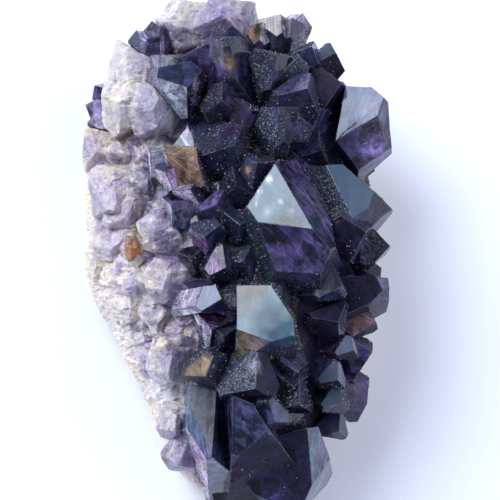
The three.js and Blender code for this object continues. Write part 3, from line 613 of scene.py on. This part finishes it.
def amethyst_material(name, absorbed, density):
    """Clear violet quartz, darker with depth, under what each face carries. The stored coat is the
    surface colour, with the strength of the growth lines as its alpha. The stored finish gives
    cover, dust, roughness and clouds as red to alpha. Dust is a mosaic of small facets, each turned
    its own way, so that some catch the light."""
    material = bpy.data.materials.new(name)
    material.use_nodes = True
    nodes, links = material.node_tree.nodes, material.node_tree.links
    shader = nodes["Principled BSDF"]

    def noise(vector, scale, detail):
        """Fractal noise, about 0 to 1."""
        node = nodes.new("ShaderNodeTexNoise")
        node.inputs["Scale"].default_value = scale
        node.inputs["Detail"].default_value = detail
        node.inputs["Roughness"].default_value = 0.68
        links.new(vector, node.inputs["Vector"])
        return node.outputs["Fac"]

    def ranged(value, low, high, to_low, to_high):
        """The value moved in a straight line from one range to another, and held inside it."""
        node = nodes.new("ShaderNodeMapRange")
        ends = {"From Min": low, "From Max": high, "To Min": to_low, "To Max": to_high}
        for socket, number in ends.items():
            node.inputs[socket].default_value = number
        links.new(value, node.inputs["Value"])
        return node.outputs["Result"]

    def math_node(operation, first, second, third=0.0, clamp=False):
        """One sum on numbers, each a plain number or another node's result."""
        node = nodes.new("ShaderNodeMath")
        node.operation = operation
        node.use_clamp = clamp
        for socket, value in zip(node.inputs, (first, second, third)):
            if isinstance(value, float):
                socket.default_value = value
            else:
                links.new(value, socket)
        return node.outputs["Value"]

    def vector_node(operation, first, second):
        """One sum on vectors."""
        node = nodes.new("ShaderNodeVectorMath")
        node.operation = operation
        links.new(first, node.inputs[0])
        if isinstance(second, tuple):
            node.inputs[1].default_value = second
        elif operation == "SCALE":
            links.new(second, node.inputs["Scale"])
        else:
            links.new(second, node.inputs[1])
        return node.outputs["Vector"]

    coat = nodes.new("ShaderNodeAttribute")
    coat.attribute_name = "coat"
    finish = nodes.new("ShaderNodeAttribute")
    finish.attribute_name = "finish"
    parts = nodes.new("ShaderNodeSeparateColor")
    links.new(finish.outputs["Color"], parts.inputs["Color"])
    cover, dust, dull = (parts.outputs[k] for k in ("Red", "Green", "Blue"))
    veils = finish.outputs["Alpha"]
    place = nodes.new("ShaderNodeTexCoord").outputs["Object"]
    cloud = noise(place, 420, 5)
    grit = noise(place, 2200, 3)
    facets = nodes.new("ShaderNodeTexVoronoi")
    facets.inputs["Scale"].default_value = 3900
    links.new(place, facets.inputs["Vector"])
    facet_draw = nodes.new("ShaderNodeSeparateColor")
    links.new(facets.outputs["Color"], facet_draw.inputs["Color"])

    # Colour: veils come and go with the cloud and with the breaks inside, seen as straight-edged
    # scraps, and dust is lighter and darker grain by grain
    squeeze = nodes.new("ShaderNodeMapping")
    squeeze.inputs["Rotation"].default_value = (0.5, 0.9, 0.4)
    squeeze.inputs["Scale"].default_value = (1.0, 0.35, 1.4)
    links.new(place, squeeze.inputs["Vector"])
    scraps = nodes.new("ShaderNodeTexVoronoi")
    scraps.inputs["Scale"].default_value = 430
    links.new(squeeze.outputs["Vector"], scraps.inputs["Vector"])
    scrap_draw = nodes.new("ShaderNodeSeparateColor")
    links.new(scraps.outputs["Color"], scrap_draw.inputs["Color"])
    scrap = ranged(scrap_draw.outputs["Red"], 0.0, 1.0, -0.14, 0.14)
    cloud = math_node("ADD", cloud, scrap)
    veil = ranged(cloud, 0.3, 0.72, 0.4, 1.8)
    grain = ranged(facet_draw.outputs["Red"], 0.0, 1.0, 0.35, 1.8)
    grain = math_node("MULTIPLY_ADD", math_node("SUBTRACT", grain, 1.0), dust, 1.0)
    veil = math_node("MULTIPLY_ADD", math_node("SUBTRACT", veil, 1.0), veils, 1.0)
    tone = math_node("MULTIPLY", veil, grain)
    across = nodes.new("ShaderNodeUVMap")
    across.uv_map = "growth"
    stretch = nodes.new("ShaderNodeMapping")
    stretch.inputs["Scale"].default_value = (0.1, 2.4, 1.0)
    links.new(across.outputs["UV"], stretch.inputs["Vector"])
    growth = noise(stretch.outputs["Vector"], 1.0, 1)
    stripe = math_node("MULTIPLY", ranged(growth, 0.42, 0.6, -0.7, 1.0), coat.outputs["Alpha"])
    tone = math_node("MULTIPLY", tone, math_node("ADD", stripe, 1.0))
    links.new(vector_node("SCALE", coat.outputs["Color"], tone), shader.inputs["Base Color"])

    # Cover: half-covered faces break up into clear and veiled parts
    open_share = math_node("MULTIPLY", cover, math_node("SUBTRACT", 1.0, cover))
    drift = math_node("MULTIPLY", math_node("SUBTRACT", cloud, 0.5), open_share)
    drift = math_node("MULTIPLY", drift, veils)
    covered = math_node("MULTIPLY_ADD", drift, 7.0, cover, clamp=True)
    links.new(math_node("SUBTRACT", 1.0, covered, clamp=True), shader.inputs["Transmission Weight"])
    patchy = math_node("MULTIPLY", ranged(grit, 0.3, 0.7, 0.7, 1.3), dull)
    links.new(patchy, shader.inputs["Roughness"])

    # Relief: level growth lines and soft grit, then the turned facets of the dust
    lines = math_node("MULTIPLY", growth, math_node("MULTIPLY_ADD", coat.outputs["Alpha"], 0.5, 0.1))
    height = math_node("MULTIPLY_ADD", grit, math_node("MULTIPLY", dust, 0.3), lines)
    bump = nodes.new("ShaderNodeBump")
    bump.inputs["Strength"].default_value = 0.5
    bump.inputs["Distance"].default_value = 0.00005
    links.new(height, bump.inputs["Height"])
    turned = vector_node("SUBTRACT", facets.outputs["Color"], (0.5, 0.5, 0.5))
    turned = vector_node("SCALE", turned, math_node("MULTIPLY", dust, 1.0))
    normal = vector_node("ADD", bump.outputs["Normal"], turned)
    unit = nodes.new("ShaderNodeVectorMath")
    unit.operation = "NORMALIZE"
    links.new(normal, unit.inputs[0])
    links.new(unit.outputs["Vector"], shader.inputs["Normal"])

    links.new(math_node("MULTIPLY_ADD", dull, -0.8, 0.5), shader.inputs["Specular IOR Level"])
    shader.inputs["IOR"].default_value = 1.544
    inside = nodes.new("ShaderNodeVolumeAbsorption")
    inside.inputs["Color"].default_value = (*absorbed, 1)
    inside.inputs["Density"].default_value = density
    links.new(inside.outputs["Volume"], nodes["Material Output"].inputs["Volume"])
    return material


def crystal_faces(node):
    """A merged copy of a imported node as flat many-sided faces, in metres."""
    shape = bmesh.new()
    shape.from_mesh(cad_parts[node].data)
    bmesh.ops.remove_doubles(shape, verts=shape.verts, dist=2e-6)
    bmesh.ops.dissolve_limit(
        shape, angle_limit=math.radians(0.4), verts=shape.verts, edges=shape.edges,
    )
    shape.normal_update()
    return shape


def worn_edges(shape, width):
    """Takes a narrow strip off every outer edge that is long enough, and returns the strips."""
    edges = [
        edge for edge in shape.edges
        if len(edge.link_faces) == 2 and edge.calc_length() > 0.9 * MM
        and edge.calc_face_angle_signed(0) > math.radians(18)
    ]
    result = bmesh.ops.bevel(
        shape, geom=edges, offset=width * MM, offset_type="OFFSET", segments=1, profile=0.5,
        affect="EDGES", clamp_overlap=False, loop_slide=True,
    )
    return result["faces"]


def refined(points, triangles, owner, longest):
    """Splits every edge longer than longest at its middle, over and over, until none is left. A
    triangle with one, two or three split edges becomes two, three or four."""
    while True:
        ends = np.stack([triangles, np.roll(triangles, -1, axis=1)], axis=2).reshape(-1, 2)
        low, high = ends.min(axis=1).astype(np.int64), ends.max(axis=1).astype(np.int64)
        keys, which = np.unique(low * len(points) + high, return_inverse=True)
        first, second = keys // len(points), keys % len(points)
        split = np.linalg.norm(points[first] - points[second], axis=1) > longest
        if not split.any():
            return points, triangles, owner
        number = np.full(len(keys), -1)
        number[split] = len(points) + np.arange(split.sum())
        points = np.vstack([points, (points[first[split]] + points[second[split]]) / 2])
        middle = number[which].reshape(-1, 3)
        count = (middle >= 0).sum(axis=1)
        turn = np.zeros(len(triangles), int)
        turn[count == 1] = np.argmax(middle[count == 1] >= 0, axis=1)
        turn[count == 2] = (np.argmax(middle[count == 2] < 0, axis=1) + 1) % 3
        order = (turn[:, None] + np.arange(3)) % 3
        a, b, c = np.take_along_axis(triangles, order, axis=1).T
        p, q, r = np.take_along_axis(middle, order, axis=1).T
        pieces = [(count == 0, [(a, b, c)]), (count == 1, [(a, p, c), (p, b, c)]),
                  (count == 2, [(p, b, q), (a, p, q), (a, q, c)]),
                  (count == 3, [(a, p, r), (p, b, q), (r, q, c), (p, q, r)])]
        made = [(np.column_stack(t)[chosen], owner[chosen]) for chosen, group in pieces for t in group]
        triangles = np.vstack([m[0] for m in made])
        owner = np.concatenate([m[1] for m in made])


def growth_map(mesh, places, owner_normals):
    """UV map in millimetres on each face's own plane: u runs level across it and v up its slope, so
    that growth lines run level."""
    level = np.cross([0.0, 0.0, 1.0], owner_normals)
    level[np.linalg.norm(level, axis=1) < 1e-3] = [1, 0, 0]
    level /= np.linalg.norm(level, axis=1, keepdims=True)
    slope = np.cross(owner_normals, level)
    uv = np.column_stack([(places * level).sum(axis=1), (places * slope).sum(axis=1)])
    layer = mesh.uv_layers.new(name="growth")
    layer.data.foreach_set("uv", uv.ravel())


def mark_faces(shape, names, choose):
    """Writes on every face its kind, its light and the height of its foot. A face with a named
    place keeps its finish as it is. Any other is chosen by choose(middle, number), and a draw makes
    it darker or lighter than its finish."""
    tree = BVHTree.FromBMesh(shape)
    marked = {}
    for finish, places in NAMED_FACES.items():
        for place in places:
            found = tree.find_nearest(Vector(place) * MM)
            if found[3] < NEAR_ENOUGH * MM:
                marked[found[2]] = finish
    kinds = shape.faces.layers.int.new("kind")
    lights = shape.faces.layers.float.new("light")
    foots = shape.faces.layers.float.new("foot")
    for face in shape.faces:
        middle = np.array(face.calc_center_median()) / MM
        named = marked.get(face.index)
        draw = DARKEST + (LIGHTEST - DARKEST) * float(scatter(face.index, 8))
        face[kinds] = names.index(named or choose(middle, face.index))
        face[lights] = 1.0 if named else draw
        face[foots] = min(corner.co.z for corner in face.verts) / MM
    for strip in worn_edges(shape, EDGE_WEAR):
        strip[kinds] = names.index("worn")
        strip[lights] = 1.0
        strip[foots] = -99.0


def in_fixed_order(triangles):
    """Each triangle turned to start at its lowest corner number, and all of them sorted by their
    corner numbers, so that seeded draws over them come out the same every time. Returns them and
    the order they were taken in."""
    start = triangles.argmin(axis=1)[:, None]
    triangles = np.take_along_axis(triangles, (start + np.arange(3)) % 3, axis=1)
    order = np.lexsort(triangles.T[::-1])
    return triangles[order], order


def read_triangles(shape):
    """Points in millimetres, triangles, and each triangle's kind, light and foot, as arrays."""
    bmesh.ops.triangulate(shape, faces=shape.faces)
    rough_mesh = bpy.data.meshes.new("rough")
    shape.to_mesh(rough_mesh)
    shape.free()
    points = np.empty(len(rough_mesh.vertices) * 3)
    rough_mesh.vertices.foreach_get("co", points)
    triangles = np.empty(len(rough_mesh.loops), np.int32)
    rough_mesh.loops.foreach_get("vertex_index", triangles)
    kind = np.empty(len(rough_mesh.polygons), np.int32)
    rough_mesh.attributes["kind"].data.foreach_get("value", kind)
    light, foot = np.empty(len(kind)), np.empty(len(kind))
    rough_mesh.attributes["light"].data.foreach_get("value", light)
    rough_mesh.attributes["foot"].data.foreach_get("value", foot)
    bpy.data.meshes.remove(rough_mesh)
    triangles, order = in_fixed_order(triangles.reshape(-1, 3))
    return points.reshape(-1, 3) / MM, triangles, kind[order], light[order], foot[order]


def swollen(points, triangles, normals):
    """Moves the points in or out by a few tenths of a millimetre of smooth noise, so that no face
    is quite flat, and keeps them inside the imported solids' box."""
    outward = np.zeros_like(points)
    for k in range(3):
        np.add.at(outward, triangles[:, k], normals)
    outward /= np.maximum(np.linalg.norm(outward, axis=1, keepdims=True), 1e-9)
    swell = 0.30 * (soft_noise(points, 6.0, 111) - 0.5) + 0.07 * (soft_noise(points, 2.3, 112) - 0.5)
    points = points + outward * swell[:, None]
    return np.clip(points, BOX_LOW + 0.02, BOX_HIGH - 0.02)


def corner_looks(corners, normals, names, kind, light, foot):
    """Coat and finish of every corner: its face's finish and light, dustier towards the foot of a steep
    face and darkened there with painted shade, then the soft patches, and a hue that drifts over the whole
    cluster."""
    table = [FINISHES[n] for n in names]
    coat = np.array([linear(*entry[0]) for entry in table])[kind] * light[:, None]
    cover, dust, dull, veils, lines = (
        np.array([entry[k] for entry in table])[kind] for k in range(1, 6)
    )
    wander = soft_noise(corners, 2.6, 101) * 0.6 + soft_noise(corners, 1.1, 102) * 0.4
    steep = np.clip(2 - 2 * normals[:, 2], 0, 1) * np.minimum(1.3 * veils, 1)
    near_foot = 1.1 - (corners[:, 2] - foot) / 3 + 1.5 * (wander - 0.5)
    foot_dust_and_shade = np.clip(near_foot, 0, 1) * steep
    dust = dust + foot_dust_and_shade * 0.35 * (1 - dust)
    cover = cover + foot_dust_and_shade * 0.5 * (1 - cover)
    # Painted shade: the coat is darkened where the crystals meet at the foot of steep faces
    coat *= (1 - 0.45 * foot_dust_and_shade)[:, None]
    finish = np.column_stack([cover, dust, dull, veils])
    faces = kind != names.index("worn")
    patched_coat, patched_finish = coat[faces], finish[faces]
    blend_patches(patched_coat, patched_finish, corners[faces], wander[faces])
    coat[faces], finish[faces] = patched_coat, patched_finish
    hue = soft_noise(corners, 7.0, 103)[:, None]
    coat *= np.array([1.25, 0.9, 1.1]) * hue + np.array([0.85, 1.15, 1.0]) * (1 - hue)
    return np.column_stack([coat, lines]), finish


def dress_crystals(node, name, material, choose):
    """Makes the visible crystals of one node: merged copy, worn edges, finer triangles, and the
    coat and finish of every corner. Returns the piece, and its triangles with their dust."""
    names = list(FINISHES)
    shape = crystal_faces(node)
    mark_faces(shape, names, choose)
    points, triangles, kind, light, foot = read_triangles(shape)
    a, b, c = (points[triangles[:, k]] for k in range(3))
    cross = np.cross(b - a, c - a)
    flat_normals = cross / np.maximum(np.linalg.norm(cross, axis=1, keepdims=True), 1e-12)
    points, triangles, owner = refined(points, triangles, np.arange(len(triangles)), FACE_STEP)
    points = swollen(points, triangles, flat_normals[owner])
    piece = make_piece(name, points, triangles, smooth_below=6)
    corners = points[triangles].reshape(-1, 3)
    owner_of_corner = np.repeat(owner, 3)
    normals = flat_normals[owner_of_corner]
    growth_map(piece.data, corners, normals)
    kind, light, foot = (values[owner_of_corner] for values in (kind, light, foot))
    coat, finish = corner_looks(corners, normals, names, kind, light, foot)
    for layer_name, values in (("coat", coat), ("finish", finish)):
        layer = piece.data.color_attributes.new(layer_name, "FLOAT_COLOR", "CORNER")
        layer.data.foreach_set("color", values.ravel())
    piece.data.materials.append(material)
    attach(piece, "root")
    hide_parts(node)
    return piece, points, triangles, flat_normals[owner], finish[:, 1].reshape(-1, 3).mean(axis=1)


# What each part of the crust mostly shows: shares of the finishes, which add up to one, and where
# the rim, the middle and the outer part meet, in millimetres
RIM_SHARES = {"milky": 0.3, "lilac": 0.3, "steel": 0.15, "ochre": 0.1, "violet": 0.15}
MIDDLE_SHARES = {"dusty": 0.62, "dusty violet": 0.14, "velvet": 0.08, "navy": 0.1, "violet": 0.06}
OUTER_SHARES = {"velvet": 0.3, "navy": 0.27, "ink": 0.2, "violet": 0.15, "dusty violet": 0.08}
RIM_LEFT_OF, RIM_BEYOND = -9, 47
MIDDLE_LEFT_OF, MIDDLE_BEYOND = 15, -38


def druse_finish(middle, number):
    """Pale along the broken left rim and the upper end, dusty over the middle, and clean and dark
    towards the right and the lower end. A draw is held against the running sum of the shares."""
    x, y = middle[:2]
    if x < RIM_LEFT_OF or y > RIM_BEYOND:
        shares = RIM_SHARES
    elif x < MIDDLE_LEFT_OF and y > MIDDLE_BEYOND:
        shares = MIDDLE_SHARES
    else:
        shares = OUTER_SHARES
    left = scatter(number, 3)
    for finish, share in shares.items():
        left -= share
        if left < 0:
            return finish
    return finish


dark_amethyst = amethyst_material("dark_amethyst", (0.42, 0.3, 0.66), 300)
druse, druse_points, druse_triangles, druse_normals, druse_dust = dress_crystals(
    "amethyst_druse", "druse", dark_amethyst, druse_finish,
)

# The two small groups on the rims: paler, lilac, and cleaner
lilac_amethyst = amethyst_material("lilac_amethyst", (0.7, 0.55, 0.86), 90)


def rim_finish(middle, number):
    """Lilac glass, with a darker face here and there."""
    return "lilac" if scatter(number, 7) < 0.7 else "violet"


for node, name in (("left_rim_points", "left_points"), ("upper_rim_points", "upper_points")):
    group = dress_crystals(node, name, lilac_amethyst, rim_finish)[0]


# The druse's fine crystals: stubby points a fraction of a millimetre across that grew last, thick
# on the dusty faces. Each is a small double pyramid, half sunk in its face.
GRAINS = 16000


def grain_mesh(points, triangles, normals, dust, count, seed):
    """Double pyramids with four sides: middles drawn on the triangles by area and dust, one axis
    near the face's normal, and a random size."""
    draw = np.random.default_rng(seed)
    a, b, c = (points[triangles[:, k]] for k in range(3))
    area = np.linalg.norm(np.cross(b - a, c - a), axis=1)
    visible = normals[:, 2] > -0.35
    weight = area * np.clip(dust - 0.15, 0, 1) ** 1.5 * visible
    chosen = draw.choice(len(triangles), count, p=weight / weight.sum())
    share = draw.random((count, 2))
    share = np.where(share.sum(axis=1, keepdims=True) > 1, 1 - share, share)
    middle = a[chosen] + (b - a)[chosen] * share[:, :1] + (c - a)[chosen] * share[:, 1:]
    axis = normals[chosen] + 0.5 * draw.normal(size=(count, 3)) * 0.6
    axis /= np.linalg.norm(axis, axis=1, keepdims=True)
    side = np.cross(axis, draw.normal(size=(count, 3)))
    side /= np.linalg.norm(side, axis=1, keepdims=True)
    other = np.cross(axis, side)
    size = (0.06 + 0.13 * draw.random(count) ** 2)[:, None]
    tall = size * (1.2 + draw.random((count, 1)))
    corners = np.stack([
        middle + side * size, middle + other * size, middle - side * size, middle - other * size,
        middle + axis * tall, middle - axis * tall,
    ], axis=1).reshape(-1, 3)
    ring = np.arange(4)
    after = (ring + 1) % 4
    upper = np.column_stack([ring, after, np.full(4, 4)])
    lower = np.column_stack([after, ring, np.full(4, 5)])
    one = np.vstack([upper, lower])
    faces = (one[None] + 6 * np.arange(count)[:, None, None]).reshape(-1, 3)
    return corners, faces, draw.random(count)


grain_points, grain_faces, grain_draw = grain_mesh(
    druse_points, druse_triangles, druse_normals, druse_dust, GRAINS, 5,
)
grain_points = np.clip(grain_points, BOX_LOW + 0.05, BOX_HIGH - 0.05)
grains = make_piece("fine_crystals", grain_points, grain_faces)
# About one grain in seven is painted pale grey: painted glints
painted_glint = np.repeat(grain_draw, 6)[:, None] > 0.86
paint(grains, "tint", np.where(painted_glint, linear(168, 168, 182), linear(40, 40, 48)))


def fine_crystal_material():
    """Dark glassy grains with the stored tint, a few painted pale as glints, and clean facets."""
    material = bpy.data.materials.new("fine_crystals")
    material.use_nodes = True
    nodes, links = material.node_tree.nodes, material.node_tree.links
    shader = nodes["Principled BSDF"]
    tint = nodes.new("ShaderNodeVertexColor")
    tint.layer_name = "tint"
    links.new(tint.outputs["Color"], shader.inputs["Base Color"])
    shader.inputs["Roughness"].default_value = 0.16
    shader.inputs["IOR"].default_value = 1.544
    return material


grains.data.materials.append(fine_crystal_material())
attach(grains, "root")


# The studio: a pale floor, one large soft window up on the left behind the cluster, which the
# clean faces mirror, a pale sky that fills the shadows, and the camera looking steeply down.
WINDOW_TOWARDS = np.array([-0.57, 0.42, 0.70])
WINDOW = (6.4, 6.9, 7.5, 1)
FILL_TOWARDS = np.array([0.86, 0.0, 0.5])
FILL = (1.75, 1.78, 1.95, 1)
DIM = (0.24, 0.28, 0.46, 1)
TARGET = Vector((3.3, 0.0, 20.0)) * MM
CAMERA_ELEVATION = math.radians(68)
CAMERA_DISTANCE = 430 * MM
PIXEL_AT_TARGET = 0.22 * MM
PHOTO_WIDTH = 500


def make_floor():
    """Plain pale floor, a large flat square at the height the cluster rests on."""
    size = 3000.0
    corners = np.array([[-size, -size, 0], [size, -size, 0], [size, size, 0], [-size, size, 0]], float)
    floor = make_piece("floor", corners, np.array([[0, 1, 2, 3]]))
    material = bpy.data.materials.new("floor_paint")
    material.use_nodes = True
    shader = material.node_tree.nodes["Principled BSDF"]
    shader.inputs["Base Color"].default_value = (0.84, 0.86, 0.91, 1)
    shader.inputs["Roughness"].default_value = 0.9
    floor.data.materials.append(material)


def make_sky():
    """Sky light: dim blue all over, a pale wall on the right that fills the shadows, and a bright
    soft-edged window up on the left."""
    world = bpy.data.worlds.new("sky")
    bpy.context.scene.world = world
    world.use_nodes = True
    nodes, links = world.node_tree.nodes, world.node_tree.links
    place = nodes.new("ShaderNodeTexCoord").outputs["Generated"]

    def lobe(towards, edge, full):
        """Share from 0 to 1 by the cosine of the angle to a direction."""
        aim = nodes.new("ShaderNodeVectorMath")
        aim.operation = "DOT_PRODUCT"
        aim.inputs[1].default_value = tuple(towards / np.linalg.norm(towards))
        links.new(place, aim.inputs[0])
        share = nodes.new("ShaderNodeMapRange")
        share.interpolation_type = "SMOOTHSTEP"
        share.inputs["From Min"].default_value = edge
        share.inputs["From Max"].default_value = full
        links.new(aim.outputs["Value"], share.inputs["Value"])
        return share.outputs["Result"]

    def blend(share, under, over):
        """One colour laid over another by a share."""
        mix = nodes.new("ShaderNodeMix")
        mix.data_type = "RGBA"
        links.new(share, mix.inputs["Factor"])
        mix.inputs["B"].default_value = over
        if isinstance(under, tuple):
            mix.inputs["A"].default_value = under
        else:
            links.new(under, mix.inputs["A"])
        return mix.outputs["Result"]

    colour = blend(lobe(FILL_TOWARDS, math.cos(math.radians(60)), math.cos(math.radians(15))), DIM, FILL)
    window = lobe(WINDOW_TOWARDS, math.cos(math.radians(33)), math.cos(math.radians(9)))
    colour = blend(window, colour, WINDOW)
    links.new(colour, nodes["Background"].inputs["Color"])


def make_camera():
    """Camera at the photograph's angle: its lens gives the frame's width at the target."""
    data = bpy.data.cameras.new("camera")
    data.sensor_width = 36
    data.lens = CAMERA_DISTANCE / (PIXEL_AT_TARGET * PHOTO_WIDTH) * data.sensor_width
    data.clip_end = 20
    camera = bpy.data.objects.new("camera", data)
    bpy.context.scene.collection.objects.link(camera)
    towards = Vector((0, -math.cos(CAMERA_ELEVATION), math.sin(CAMERA_ELEVATION)))
    camera.location = TARGET + towards * CAMERA_DISTANCE
    camera.rotation_euler = (math.pi / 2 - CAMERA_ELEVATION, 0, 0)
    bpy.context.scene.camera = camera


make_floor()
make_sky()
make_camera()
bpy.context.scene.view_settings.view_transform = "Standard"
